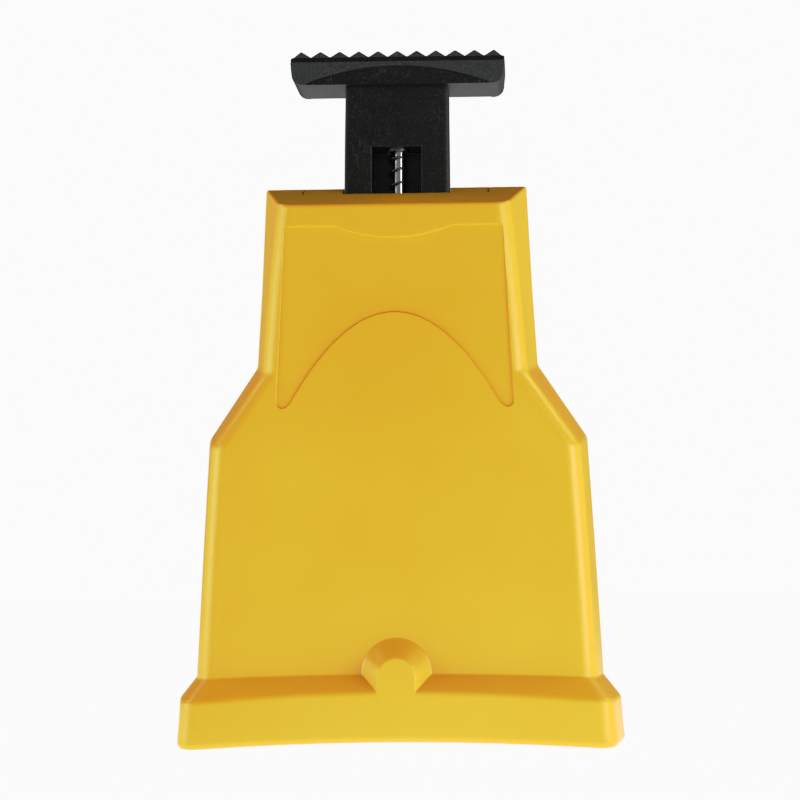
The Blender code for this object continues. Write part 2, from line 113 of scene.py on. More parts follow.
# ---- push slide ----
STEM_W = 12.2         # half width of the stem
STEM_D = 4.7          # half depth of the stem
STEM_FIT = 0.3        # room round the stem
STEM_Z = (103.0, 151.0)
PAD_W = 24.55
PAD_X = 0.3           # the pad sits a little right of the stem
PAD_D = 7.75
PAD_Z = (149.9, 156.3, 157.7)   # underside, valleys and crests of the ridges
PAD_CORNER_R = 2.4    # lower corners of the pad
PAD_ARCH = (21.4, 4.15)         # half width and height of the hollow in its faces
RIDGES = 11
RIDGE_PITCH = 4.42
WINDOW_W = 5.7
WINDOW_Z = (109.6, 135.9)
RIB_Z = (110.0, 113.4)
ROD_R = 1.42
ROD_X = 0.4           # the rod stands a little right of the middle
LEAN = math.radians(0.45)       # how far the slide tips in its guides
SLIDE_YAW = math.radians(1.1)   # and turns in them
SLIDE_SHIFT = 0.22
ROD_SHIFT = 0.1
WELD = 2e-6           # metres
SPRING_R = 1.84
WIRE_R = 0.25
SPRING_TURNS = 7.5


# ---- mesh helpers ----
def mesh_object(name, verts, faces):
    """Closed mesh from millimetre points, faces turned outward."""
    me = bpy.data.meshes.new(name)
    me.from_pydata([tuple(c * MM for c in v) for v in verts], [], faces)
    bm = bmesh.new()
    bm.from_mesh(me)
    bmesh.ops.recalc_face_normals(bm, faces=bm.faces)
    if bm.calc_volume(signed=True) < 0:
        bmesh.ops.reverse_faces(bm, faces=bm.faces)
    bm.to_mesh(me)
    bm.free()
    ob = bpy.data.objects.new(name, me)
    bpy.context.scene.collection.objects.link(ob)
    return ob


def loft(name, rings):
    """Solid through rings of equal point count, capped at both ends."""
    n = len(rings[0])
    verts = [p for r in rings for p in r]
    faces = [tuple(range(n))]
    for k in range(len(rings) - 1):
        a, b = k * n, (k + 1) * n
        faces += [(a + i, a + (i + 1) % n, b + (i + 1) % n, b + i)
                  for i in range(n)]
    faces.append(tuple(range((len(rings) - 1) * n, len(rings) * n))[::-1])
    return mesh_object(name, verts, faces)


def box(lo, hi):
    xs, ys, zs = zip(lo, hi)
    rings = [[(xs[0], ys[0], z), (xs[1], ys[0], z), (xs[1], ys[1], z),
              (xs[0], ys[1], z)] for z in zs]
    return loft("tool", rings)


def placed(points, axis, d):
    """Plane points set at distance d along axis."""
    out = []
    for p in points:
        c = list(p)
        c.insert("xyz".index(axis), d)
        out.append(tuple(c))
    return out


def prism(points, axis, lo, hi):
    return loft("tool", [placed(points, axis, d) for d in (lo, hi)])


def turned(axis, centre, profile, seg=48):
    """Round solid: profile is (position along axis, radius) in order."""
    i = "xyz".index(axis)
    j, k = [m for m in range(3) if m != i]
    rings = []
    for pos, r in profile:
        ring = []
        for s in range(seg):
            a = 2 * math.pi * (s + 0.5) / seg
            p = [0.0, 0.0, 0.0]
            p[i] = pos
            p[j] = centre[j] + r * math.cos(a)
            p[k] = centre[k] + r * math.sin(a)
            ring.append(tuple(p))
        rings.append(ring)
    return loft("tool", rings)


def cyl(axis, centre, lo, hi, r):
    return turned(axis, centre, [(lo, r), (hi, r)])


def apply_modifiers(ob):
    dg = bpy.context.evaluated_depsgraph_get()
    me = bpy.data.meshes.new_from_object(ob.evaluated_get(dg))
    ob.modifiers.clear()
    ob.data = me
    return ob


def boolean(ob, tool, op):
    m = ob.modifiers.new("b", "BOOLEAN")
    m.operation = op
    m.solver = "MANIFOLD"
    m.object = tool
    apply_modifiers(ob)
    bpy.data.objects.remove(tool, do_unlink=True)
    return ob


def cut(ob, *tools):
    for t in tools:
        boolean(ob, t, "DIFFERENCE")
    return ob


def add(ob, *tools):
    for t in tools:
        boolean(ob, t, "UNION")
    return ob


def span(s, a, b):
    return (min(s * a, s * b), max(s * a, s * b))


def shade(ob, angle=32.0):
    """Smooth shading, sharp where faces meet at more than the angle."""
    bm = bmesh.new()
    bm.from_mesh(ob.data)
    bmesh.ops.remove_doubles(bm, verts=bm.verts, dist=WELD)
    bmesh.ops.dissolve_degenerate(bm, edges=bm.edges, dist=1e-6)
    for f in bm.faces:
        f.smooth = True
    for e in bm.edges:
        e.smooth = not (len(e.link_faces) == 2
                        and e.calc_face_angle(0.0) > math.radians(angle))
    bm.to_mesh(ob.data)
    bm.free()
    m = ob.modifiers.new("normals", "WEIGHTED_NORMAL")
    m.mode = "FACE_AREA_WITH_ANGLE"
    m.weight = 80
    m.keep_sharp = True
    return ob


def merge_flat(ob):
    """Joins the coplanar triangles that a cut leaves behind."""
    bm = bmesh.new()
    bm.from_mesh(ob.data)
    bmesh.ops.remove_doubles(bm, verts=bm.verts, dist=WELD)
    bmesh.ops.dissolve_limit(bm, angle_limit=math.radians(0.4), verts=bm.verts,
                             edges=bm.edges)
    bm.to_mesh(ob.data)
    bm.free()
    return ob


def bevel(ob, width, segments, angle):
    m = ob.modifiers.new("edges", "BEVEL")
    m.width = width * MM
    m.segments = segments
    m.limit_method = "ANGLE"
    m.angle_limit = math.radians(angle)
    m.use_clamp_overlap = True
    return apply_modifiers(ob)


def place(ob, name, body, slot, *materials, replaces=()):
    """Names the piece, gives it its finish and its body."""
    ob.name = name
    ob.data.name = name
    ob.data.materials.clear()
    for m in materials:
        ob.data.materials.append(m)
    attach(ob, body)
    if replaces:
        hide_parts(*replaces)
    return ob


# ---- procedural materials ----
class Finish:
    """A Principled material with short ways to add procedural detail."""

    def __init__(self, name, **values):
        self.mat = bpy.data.materials.new(name)
        self.mat.use_nodes = True
        self.tree = self.mat.node_tree
        self.shader = self.tree.nodes["Principled BSDF"]
        for key, v in values.items():
            self.shader.inputs[key.replace("_", " ")].default_value = v
        self.coord = self.tree.nodes.new("ShaderNodeTexCoord").outputs["Object"]
        self.height = None

    def node(self, kind, inputs=None, **settings):
        n = self.tree.nodes.new("ShaderNode" + kind)
        for k, v in settings.items():
            setattr(n, k, v)
        for k, v in (inputs or {}).items():
            if isinstance(v, bpy.types.NodeSocket):
                self.tree.links.new(v, n.inputs[k])
            else:
                n.inputs[k].default_value = v
        return n

    def scaled(self, scale, turn=(0.0, 0.0, 0.0)):
        return self.node("Mapping", {"Vector": self.coord, "Scale": scale,
                                     "Rotation": turn}).outputs["Vector"]

    def noise(self, scale, detail=2.0, rough=0.5, at=None):
        return self.node("TexNoise", {"Vector": at or self.coord, "Scale": scale,
                                      "Detail": detail, "Roughness": rough}
                         ).outputs["Fac"]

    def cells(self, scale):
        return self.node("TexVoronoi", {"Vector": self.coord, "Scale": scale}
                         ).outputs["Distance"]

    def remap(self, value, a, b, lo=0.0, hi=1.0):
        """Value from a..b onto lo..hi, clamped; lo and hi may be sockets."""
        return self.node("MapRange", {"Value": value, "From Min": a,
                                      "From Max": b, "To Min": lo,
                                      "To Max": hi}, clamp=True).outputs["Result"]

    def calc(self, op, a, b):
        n = self.node("Math", operation=op)
        for socket, v in zip(n.inputs, (a, b)):
            if isinstance(v, bpy.types.NodeSocket):
                self.tree.links.new(v, socket)
            else:
                socket.default_value = v
        return n.outputs[0]

    def mix(self, fac, a, b):
        n = self.node("Mix", data_type="RGBA")
        for socket, v in zip((n.inputs[0], n.inputs[6], n.inputs[7]), (fac, a, b)):
            if isinstance(v, bpy.types.NodeSocket):
                self.tree.links.new(v, socket)
            else:
                socket.default_value = v
        return n.outputs[2]

    def colour(self, socket):
        self.tree.links.new(socket, self.shader.inputs["Base Color"])
        return self

    def rough(self, socket):
        self.tree.links.new(socket, self.shader.inputs["Roughness"])
        return self

    def bump(self, height, depth_mm, strength=1.0):
        values = {"Height": height, "Distance": depth_mm * MM,
                  "Strength": strength}
        if self.height is not None:
            values["Normal"] = self.height
        self.height = self.node("Bump", values).outputs["Normal"]
        self.tree.links.new(self.height, self.shader.inputs["Normal"])
        return self


def moulded_yellow(name, tint):
    """Satin moulded plastic: slow colour drift, fine grain, dust and rubbing."""
    f = Finish(name, Specular_IOR_Level=0.5)
    drift = f.noise(16.0, 3.0, 0.55)
    r, g, b = tint
    light = (min(r * 1.02, 1.0), g * 1.03, b * 1.15, 1.0)
    dark = (r * 0.975, g * 0.955, b * 0.8, 1.0)
    base = f.mix(f.remap(drift, 0.35, 0.65), dark, light)
    flow = f.noise(38.0, 4.0, 0.6, f.scaled((1.0, 1.0, 0.22)))
    base = f.mix(f.remap(flow, 0.52, 0.72, 0.0, 0.20), base,
                 (r * 0.97, g * 0.93, b * 0.9, 1.0))
    speck = f.cells(900.0)
    base = f.mix(f.remap(speck, 0.02, 0.10, 0.22, 0.0), base,
                 (r * 0.86, g * 0.80, b * 2.0, 1.0))
    f.colour(base)
    grain = f.noise(2600.0, 2.0, 0.6)
    f.rough(f.calc("ADD", f.remap(f.noise(60.0, 4.0), 0.3, 0.7, 0.31, 0.38),
                   f.remap(grain, 0.3, 0.7, -0.03, 0.03)))
    f.bump(f.noise(55.0, 2.0), 0.03, 0.5)
    f.bump(grain, 0.006, 0.8)
    return f.mat


def worn_black(name, base, rough, dust=1.0):
    """Smooth black plastic with fine scuffs, moulding grain and dust."""
    f = Finish(name, Specular_IOR_Level=0.45)
    r, g, b = base
    cloud = f.noise(120.0, 5.0, 0.6)
    tone = f.mix(f.remap(cloud, 0.35, 0.68), (r * 0.8, g * 0.8, b * 0.8, 1.0),
                 (r * 1.35, g * 1.35, b * 1.35, 1.0))
    scuff = None
    for k, turn in enumerate((0.5, -0.85, 1.9)):
        v = f.scaled((1.0, 1.0, 0.12), (0.0, turn, 0.0))
        line = f.remap(f.noise(1900.0 + 400 * k, 1.0, 0.5, v), 0.68, 0.76)
        scuff = line if scuff is None else f.calc("MAXIMUM", scuff, line)
    patch = f.remap(f.noise(75.0 + dust, 2.0), 0.42, 0.66)
    scuff = f.calc("MULTIPLY", scuff, patch)
    grit = f.remap(f.cells(1500.0), 0.06, 0.20, 1.0, 0.0)
    keep = f.remap(f.noise(420.0, 2.0), 0.50, 0.66)
    grit = f.calc("MULTIPLY", grit, keep)
    tone = f.mix(f.calc("MULTIPLY", scuff, 0.34 * dust), tone,
                 (0.16, 0.17, 0.17, 1.0))
    tone = f.mix(f.calc("MULTIPLY", grit, 0.30 * dust), tone,
                 (0.20, 0.21, 0.21, 1.0))
    peel = f.noise(2300.0, 3.0, 0.65)
    tone = f.mix(f.calc("MULTIPLY", f.remap(peel, 0.53, 0.70),
                        f.remap(cloud, 0.35, 0.65, 0.25, 0.60)), tone,
                 (0.085, 0.089, 0.087, 1.0))
    f.colour(tone)
    f.rough(f.calc("ADD", f.remap(cloud, 0.3, 0.7, rough - 0.05, rough + 0.05),
                   f.calc("MULTIPLY", scuff, 0.18)))
    f.bump(peel, 0.03, 0.9)
    f.bump(scuff, 0.01, 0.6)
    return f.mat


def eroded_black(name, base, rough):
    """Spark-eroded mould texture: an even, fine, dull grain."""
    f = Finish(name, Specular_IOR_Level=0.5)
    r, g, b = base
    grain = f.noise(3400.0, 3.0, 0.7)
    tone = f.mix(f.remap(grain, 0.38, 0.62), (r * 0.35, g * 0.35, b * 0.35, 1.0),
                 (r * 1.8, g * 1.8, b * 1.8, 1.0))
    cloud = f.noise(70.0, 3.0)
    tone = f.mix(f.remap(cloud, 0.4, 0.7, 0.0, 0.25), tone,
                 (r * 1.3, g * 1.35, b * 1.4, 1.0))
    f.colour(tone)
    f.rough(f.remap(cloud, 0.3, 0.7, rough - 0.04, rough + 0.04))
    f.bump(grain, 0.03, 0.9)
    return f.mat


def metal(name, base, rough, lines=(1.0, 1.0, 1.0), scale=900.0, depth=0.004,
          stain=0.12):
    """Bare or plated steel with drawn or ground lines and faint stains."""
    f = Finish(name, Metallic=1.0)
    r, g, b = base
    line = f.noise(scale, 3.0, 0.6, f.scaled(lines))
    blot = f.remap(f.noise(260.0, 4.0, 0.6), 0.5, 0.75, 0.0, stain)
    tone = f.mix(f.remap(line, 0.3, 0.7), (r * 0.86, g * 0.86, b * 0.86, 1.0),
                 (r, g, b, 1.0))
    tone = f.mix(blot, tone, (r * 0.6, g * 0.56, b * 0.5, 1.0))
    f.colour(tone)
    f.rough(f.calc("ADD", f.remap(line, 0.3, 0.7, rough - 0.05, rough + 0.05),
                   f.calc("MULTIPLY", blot, 0.8)))
    f.bump(line, depth, 0.8)
    return f.mat


def abrasive(name):
    """Bonded grit: pink-brown grains, painted glints, open pits with painted shade
    in them.
    """
    f = Finish(name, Specular_IOR_Level=0.25)
    grains = f.cells(2600.0)
    tone = f.mix(f.remap(grains, 0.1, 0.6), (0.70, 0.36, 0.28, 1.0),
                 (0.42, 0.17, 0.12, 1.0))
    # painted glints: near-white flecks mixed into the base colour
    painted_glint = f.remap(f.noise(5200.0, 1.0), 0.62, 0.72)
    tone = f.mix(f.calc("MULTIPLY", painted_glint, 0.6), tone, (0.86, 0.78, 0.72, 1.0))
    # pits: bumped inward, and darkened in colour as painted shade
    pits_and_painted_shade = f.remap(f.cells(1300.0), 0.05, 0.16, 1.0, 0.0)
    tone = f.mix(f.calc("MULTIPLY", pits_and_painted_shade, 0.7), tone, (0.10, 0.05, 0.04, 1.0))
    f.colour(tone)
    f.rough(f.remap(grains, 0.1, 0.6, 0.84, 0.97))
    f.bump(grains, 0.10, 0.9)
    f.bump(pits_and_painted_shade, -0.12, 0.8)
    return f.mat


MAT = {
    "cover": moulded_yellow("cover_plastic", (0.85, 0.478, 0.030)),
    "housing": moulded_yellow("housing_plastic", (0.84, 0.470, 0.029)),
    "slide": worn_black("slide_plastic", (0.0055, 0.0058, 0.0055), 0.36),
    "pad": eroded_black("pad_texture", (0.039, 0.042, 0.043), 0.60),
    "carrier": worn_black("carrier_plastic", (0.015, 0.015, 0.017), 0.5, 0.5),
    "chrome": metal("rod_chrome_plate", (0.58, 0.59, 0.61), 0.16,
                    (1.0, 1.0, 0.04), 1500.0, 0.0015, 0.04),
    "spring": metal("spring_wire_steel", (0.20, 0.20, 0.21), 0.36, (1, 1, 1),
                    2200.0, 0.004, 0.3),
    "pin": metal("pin_turned_steel", (0.56, 0.56, 0.57), 0.30,
                 (0.05, 1.0, 1.0), 1400.0, 0.004),
    "zinc": metal("screw_zinc_plate", (0.64, 0.65, 0.68), 0.30, (1, 1, 1),
                  1200.0, 0.004, 0.2),
    "washer": metal("washer_pressed_steel", (0.52, 0.52, 0.54), 0.34,
                    (1.0, 1.0, 0.3), 1100.0, 0.004),
    "plate": metal("plate_rolled_steel", (0.50, 0.51, 0.52), 0.38,
                   (0.06, 1.0, 1.0), 800.0, 0.006, 0.25),
    "brass": metal("bush_turned_brass", (0.70, 0.50, 0.20), 0.30,
                   (1.0, 0.05, 1.0), 1100.0, 0.004, 0.25),
    "stone": abrasive("stone_grit"),
}


# ---- moulded halves ----
def ease(t):
    t = min(max(t, 0.0), 1.0)
    return t * t * (3.0 - 2.0 * t)


def section(z, w, d, fall, bow, side, y0, radius, inset=0.0, arch=0.0):
    """Outline of a half at one height; side is -1 for the front, +1 the rear."""
    draft = DRAFT + NECK_DRAFT * min(max((z - 70.0) / 57.0, 0.0), 1.0)
    tilt = math.atan(draft)
    w, d = w - inset / math.cos(tilt), d - inset
    r = max(radius - inset, 0.6)
    t = r * math.tan((math.pi / 2 - tilt) / 2)
    cx, cy = w - draft * d - t, d - r
    ys = np.linspace(y0, cy + r * math.sin(tilt), 5)[:-1]
    pts = [(w - draft * y, y) for y in ys]
    for k in range(11):
        a = tilt + (math.pi / 2 - tilt) * k / 10
        pts.append((cx + r * math.cos(a), cy + r * math.sin(a)))
    inner = [(cx * (1 - 2 * k / 26.0), d) for k in range(1, 26)]
    pts = pts + inner + [(-x, y) for x, y in reversed(pts)]
    out = []
    for x, y in pts:
        rise = (bow * max(0.0, 1.0 - (x / 43.0) ** 2)
                + arch * max(0.0, 1.0 - (x / ARCH[0]) ** 2))
        out.append((x, side * y, z - fall * y / BODY_D + rise))
    return out if side < 0 else out[::-1]


def rounded_profile():
    """The knots as a path, each corner replaced by a short curve."""
    knots = [np.array(k[:5]) for k in KNOTS]
    path = [knots[0]]
    for i in range(1, len(knots) - 1):
        a, p, b = knots[i - 1:i + 2]
        trim = KNOTS[i][5]
        if trim == 0.0:
            path.append(p)
            continue
        s = p + (a - p) * trim / np.linalg.norm((a - p)[:3])
        e = p + (b - p) * trim / np.linalg.norm((b - p)[:3])
        for u in np.linspace(0.0, 1.0, 6):
            path.append(s * (1 - u) ** 2 + 2 * u * (1 - u) * p + e * u * u)
    path.append(knots[-1])
    return path


def outer_half(side):
    path = rounded_profile()
    rings = []

    def ring(k, inset=0.0, lift=0.0):
        z, w, d, fall, bow = k
        arch = ARCH[1] * (1.0 - ease(z / 8.5))
        rings.append(section(z + lift, w, d, fall, bow, side, GAP, CORNER_R,
                             inset, arch))
    ring(path[0], 9.0)
    for a in np.linspace(0.0, math.pi / 2, 7):
        ring(path[0], RIM_R * (1 - math.sin(a)), RIM_R * (1 - math.cos(a)))
    for u in (0.4, 0.7):
        ring(path[0] * (1 - u) + path[1] * u)
    for k in path[1:-1]:
        ring(k)
    for a in np.linspace(0.0, math.pi / 2, 5):
        ring(path[-1], TOP_R * (1 - math.cos(a)), -TOP_R * (1 - math.sin(a)))
    return loft("half", rings)


def cavity(side):
    rings = []
    for z, w, d, fall in CAVITY:
        rings.append(section(z, w - WALL - 0.2, d - WALL, fall, 0.0, side, -1.0,
                             CORNER_R - 1.8))
    return loft("cavity", rings)


def hinge_barrel(r, x0, x1):
    return cyl("x", HINGE, x0, x1, r)


def offset_outline(pts, d):
    """Closed outline moved outward by d along its corner bisectors."""
    p = [Vector(q) for q in pts]
    area = sum(p[i - 1].x * p[i].y - p[i].x * p[i - 1].y for i in range(len(p)))
    sign = 1.0 if area > 0 else -1.0
    out = []
    for i in range(len(p)):
        a = (p[i] - p[i - 1]).normalized()
        b = (p[(i + 1) % len(p)] - p[i]).normalized()
        na, nb = Vector((a.y, -a.x)), Vector((b.y, -b.x))
        n = (na + nb).normalized()
        out.append(tuple(p[i] + n * (sign * d / max(n.dot(na), 0.5))))
    return out


def label_outline():
    """Recessed field on the front face: x, z."""
    dip_w, dip = LABEL_DIP
    tip_x, tip_z, tip_r = LABEL_TIP
    pts = [(LABEL_W, LABEL_TOP), (dip_w, LABEL_TOP)]
    for k in range(1, 24):
        x = dip_w - 2 * dip_w * k / 24
        pts.append((x, LABEL_TOP - dip * (1 - (x / dip_w) ** 2)))
    pts += [(-dip_w, LABEL_TOP), (-LABEL_W, LABEL_TOP), (-24.5, 115.2)]
    left = arc_points(-tip_x, tip_z, tip_r, 184, 318, 10)
    pts += left
    for k in range(0, 33):
        x = -23.2 + 46.4 * k / 32
        pts.append((x, 96.1 - 0.0375 * x * x))
    pts += [(-x, z) for x, z in reversed(left)]
    pts.append((24.5, 115.2))
    return pts


def tongue_outline(r, centre, foot=6.0):
    pts = [(r, foot)]
    for k in range(33):
        a = math.pi * k / 32
        pts.append((r * math.cos(a), centre + r * math.sin(a)))
    pts.append((-r, foot))
    return pts


def trim_top(ob, lift=0.0):
    """Cut a solid off at the housing's sloping top face."""
    k = TOP_DROP / BODY_D
    wedge = [(-20.0, RIDGE_Z - 20 * k + lift), (0.0, RIDGE_Z + lift),
             (20.0, RIDGE_Z - 20 * k + lift), (20.0, 140.0), (-20.0, 140.0)]
    return cut(ob, prism(wedge, "x", -40.0, 40.0))


def front_cover():
    ob = outer_half(-1)
    # tapered tongue that carries the body's face down over the flange
    steps = [(-17.2, 8.1, 16.3), (-17.62, 7.62, 16.25), (-17.9, 7.25, 16.2),
             (-20.9, 4.66, 15.65), (-21.25, 4.38, 15.6), (-21.45, 4.15, 15.55),
             (-21.53, 3.85, 15.5)]
    add(ob, loft("tool", [placed(tongue_outline(r, c), "y", y)
                          for y, r, c in steps]))
    cut(ob, cavity(-1))
    field = label_outline()
    # the field's wall, rounded a little at its top and foot
    cut(ob, loft("tool", [placed(offset_outline(field, d), "y", y)
                          for y, d in ((-BODY_D - 1.0, 0.9), (-BODY_D, 0.13),
                                       (-BODY_D + 0.06, 0.07),
                                       (-BODY_D + 0.36, -0.07),
                                       (-BODY_D + 0.42, -0.13))]))
    for z in BAR_PIN_Z:
        add(ob, cyl("y", (0, 0, z), -BODY_D + 1.2, -BAR_GAP, BOSS_R))
        cut(ob, cyl("y", (0, 0, z), -9.5, 0.0, 5.3))
    cut(ob, box((-NOTCH[0], -NOTCH[1], 114.0), (NOTCH[0], 3.0, 130.0)))
    # round corner that lets the cover turn past the rear shell
    r = EAR_R - BARREL_FIT
    corner = [(HINGE.y + r * math.cos(a), HINGE.z + r * math.sin(a))
              for a in [math.pi / 2 * k / 12 for k in range(13)]]
    corner += [(HINGE.y, 131.0), (HINGE.y + EAR_R, 131.0),
               (HINGE.y + EAR_R, HINGE.z - 0.2)]
    cut(ob, prism(corner, "x", -35.0, 35.0))
    for s in (1, -1):
        lo, hi = span(s, NOTCH[0] + PIN_FIT, 28.2)
        add(ob, trim_top(hinge_barrel(EAR_R, lo, hi), -0.06))
        lo, hi = span(s, 10.0, 28.8)
        cut(ob, hinge_barrel(PIN_R + PIN_FIT, lo, hi))
    shade(ob)
    return place(ob, "front_cover_moulding", "front_half", "cover_yellow",
                 MAT["cover"], replaces=("front_cover",))


def rear_shell():
    ob = outer_half(1)
    cut(ob, cavity(1))
    for s in (1, -1):
        lo, hi = span(s, STEM_W - 0.3, 19.6)
        add(ob, box((lo, GAP, CHANNEL_Z), (hi, BODY_D - 1.0, 119.4)),
            box((lo, -5.05, CHANNEL_Z), (hi, GAP + 1.0, 117.6)))
    near, far = CHANNEL_W
    add(ob, box((-far, STEM_D + STEM_FIT, CHANNEL_Z), (far, 7.2, 123.5)),
        box((-far, 7.0, CHANNEL_Z), (-near, BODY_D - 1.0, 119.4)),
        box((near, 7.0, CHANNEL_Z), (far, BODY_D - 1.0, 119.4)))
    # uneven, to follow the slide's lean
    cut(ob, box((-STEM_W + 0.15, -6.0, 118.0),
                (STEM_W + 0.33, STEM_D + STEM_FIT, 130.0)))
    add(ob, box((-3.7, 2.0, RIB_Z[0]), (3.7, STEM_D + 1.0, RIB_Z[1])),
        box((-5.2, -3.6, RIB_Z[0]), (5.2, 3.05, RIB_Z[1])))
    cut(ob, cyl("z", (ROD_X, 0, 0), RIB_Z[0] - 1, RIB_Z[1] + 1, ROD_R + 0.35))
    for z in BAR_PIN_Z:
        add(ob, cyl("y", (0, 0, z), BAR_GAP, BODY_D - 1.2, BOSS_R))
        cut(ob, cyl("y", (0, 0, z), 0.0, 12.3, BAR_PIN_R + PIN_FIT),
            cyl("y", (0, 0, z), 12.0, BODY_D + 1.0, 2.2),
            turned("y", (0, 0, z), [(BODY_D - 2.0, 3.9), (BODY_D - 0.3, 4.0),
                                    (BODY_D - 0.1, 4.12), (BODY_D, 4.3),
                                    (BODY_D + 1.0, 5.3)]))
    cut(ob, hinge_barrel(EAR_R + BARREL_FIT, -35.0, -LUG_X[1] - PIN_FIT),
        hinge_barrel(EAR_R + BARREL_FIT, LUG_X[1] + PIN_FIT, 35.0))
    lug = [(4.0, HINGE.z - LUG_R + 0.3)]
    lug += [(HINGE.y + LUG_R * math.cos(a), HINGE.z + LUG_R * math.sin(a))
            for a in [math.radians(268 - 8 * k) for k in range(11)]]
    lug += [(-5.66, RIDGE_Z - 2.45), (-5.5, RIDGE_Z - 2.24),
            (0.0, RIDGE_Z - 0.12), (4.0, RIDGE_Z - 2.1)]
    for s in (1, -1):
        add(ob, prism(lug, "x", *span(s, LUG_X[0] + 0.2 * s, LUG_X[1])))
        lo, hi = span(s, 13.0, 27.9)
        cut(ob, hinge_barrel(PIN_R + PIN_FIT, lo, hi))
        cut(ob, cyl("y", (s * GUIDE_SCREW[0], 0, GUIDE_SCREW[1]), -6.0, 4.0, 1.5))
    shade(ob)
    return place(ob, "rear_shell_moulding", "rear_half", "housing_yellow",
                 MAT["housing"], replaces=("rear_shell",))


# ---- push slide ----
def arc_points(cx, cz, r, a0, a1, n):
    return [(cx + r * math.cos(a), cz + r * math.sin(a))
            for a in np.radians(np.linspace(a0, a1, n))]


def pad_outline(top, inset=0.0):
    """Pad's end shape below the ridges: drafted ends, rounded lower corners."""
    w = PAD_W - inset
    right = arc_points(PAD_W - 2.65, PAD_Z[0] + PAD_CORNER_R,
                       PAD_CORNER_R - inset, -90, -4, 9)
    right += [(w, top - 0.45 - inset), (w - 0.12, top - 0.16 - inset),
              (w - 0.42, top - inset)]
    return right + [(-x, z) for x, z in reversed(right)]


def ridge_outline():
    """Saw-tooth strip with slightly rounded crests and roots."""
    base, valley, peak = PAD_Z[1] - 1.6, PAD_Z[1], PAD_Z[2]
    edge = RIDGE_PITCH * RIDGES / 2
    pts = [(edge - 0.25, base), (edge - 0.25, valley - 0.05),
           (edge - 0.55, valley + 0.1)]
    half = RIDGE_PITCH / 2
    run, rise = 0.30, 0.30 * (peak - valley) / half
    for k in range(RIDGES):
        x = edge - RIDGE_PITCH * k
        c = x - half
        pts += [(c + run, peak - rise), (c + run * 0.4, peak - rise * 0.5),
                (c - run * 0.4, peak - rise * 0.5), (c - run, peak - rise)]
        if k < RIDGES - 1:
            v = x - RIDGE_PITCH
            pts += [(v + run, valley + rise), (v + run * 0.4, valley + rise * 0.5),
                    (v - run * 0.4, valley + rise * 0.5), (v - run, valley + rise)]
    pts += [(-edge + 0.55, valley + 0.1), (-edge + 0.25, valley - 0.05),
            (-edge + 0.25, base)]
    return pts


def lean(ob, shift=ROD_SHIFT, yaw=0.0):
    """Tips a piece of the slide to the right about its lower end."""
    foot = Matrix.Translation((0.0, 0.0, 0.110))
    turn = Matrix.Rotation(LEAN, 4, "Y") @ Matrix.Rotation(-yaw, 4, "Z")
    ob.data.transform(Matrix.Translation((shift * MM, 0.0, -0.0001))
                      @ foot @ turn @ foot.inverted())


def push_slide():
    b, c = 1.25, 0.5      # chamfer of the stem's corners
    rings = []
    for z, w in ((STEM_Z[0], STEM_W + 0.05), (STEM_Z[1], STEM_W - 0.4)):
        plan = [(w - b, -STEM_D), (w, -STEM_D + c), (w, STEM_D - c),
                (w - b, STEM_D)]
        plan += [(-x, y) for x, y in reversed(plan)]
        rings.append(placed(plan, "z", z))
    ob = loft("stem", rings)
    cut(ob, box((-WINDOW_W, -STEM_D - 1, WINDOW_Z[0]),
                (WINDOW_W, 3.4, WINDOW_Z[1])),
        box((-4.1, 3.0, WINDOW_Z[0]), (4.1, STEM_D + 1, 125.8)))
    merge_flat(ob)
    bevel(ob, 0.24, 3, 28.0)
    under, valley = PAD_Z[:2]
    band = 1.0        # height of the bevel along the top of both faces
    back = 0.85       # and how far it leans in
    rings = [placed(pad_outline(valley - band - 0.1, 0.12), "y", -PAD_D),
             placed(pad_outline(valley - band), "y", -PAD_D + 0.12),
             placed(pad_outline(valley), "y", -PAD_D + back),
             placed(pad_outline(valley), "y", PAD_D - back),
             placed(pad_outline(valley - band), "y", PAD_D - 0.12),
             placed(pad_outline(valley - band - 0.1, 0.12), "y", PAD_D)]
    pad = loft("pad", rings)
    half, rise = PAD_ARCH
    arch = [(-half, under - 1.0)]
    for k in range(33):
        x = -half + 2 * half * k / 32
        arch.append((x, under + rise * (1 - (x / half) ** 2)))
    arch.append((half, under - 1.0))
    for s in (-1, 1):
        tool = [placed(offset_outline(arch, d), "y", s * (PAD_D + y))
                for y, d in ((1.0, 0.5), (0.0, 0.12), (-0.12, 0.0), (-0.5, -0.05))]
        cut(pad, loft("tool", tool))
    add(pad, prism(ridge_outline(), "y", -PAD_D + back + 0.02, PAD_D - back - 0.02))
    pad.data.transform(Matrix.Translation((PAD_X * MM, 0.0, 0.0)))
    add(ob, pad)
    cut(ob, cyl("z", (ROD_X, 0, 0), WINDOW_Z[1] - 1, 138.8, ROD_R + 0.12),
        cyl("z", (ROD_X, 0, 0), STEM_Z[0] - 1, WINDOW_Z[0] + 1, ROD_R + 0.12),
        cyl("z", (ROD_X, 0, 0), STEM_Z[0] - 1, 105.0, 3.8))
    for x in (-CARRIER_SCREW_X, CARRIER_SCREW_X):
        cut(ob, cyl("z", (x, 0, 0), STEM_Z[0] - 1, 109.5, 1.5))
    ob.data.materials.clear()
    ob.data.materials.append(MAT["slide"])
    ob.data.materials.append(MAT["pad"])
    shade(ob)
    textured = []
    for p in ob.data.polygons:
        y, z = abs(p.center.y), p.center.z
        face = abs(p.normal.y) > 0.9 and y > (PAD_D - 0.2) * MM
        ends = abs(p.normal.y) > 0.9 and z > valley * MM and y > (PAD_D - 1.2) * MM
        side = abs(p.normal.x) > 0.8 and abs(p.center.x) > 20.0 * MM
        textured.append(1 if z > under * MM and (face or ends or side) else 0)
    lean(ob, SLIDE_SHIFT, SLIDE_YAW)
    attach(ob, "push_block")
    ob.name = ob.data.name = "push_slide_moulding"
    ob.data.polygons.foreach_set("material_index", textured)
    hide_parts("push_slide")
    return ob


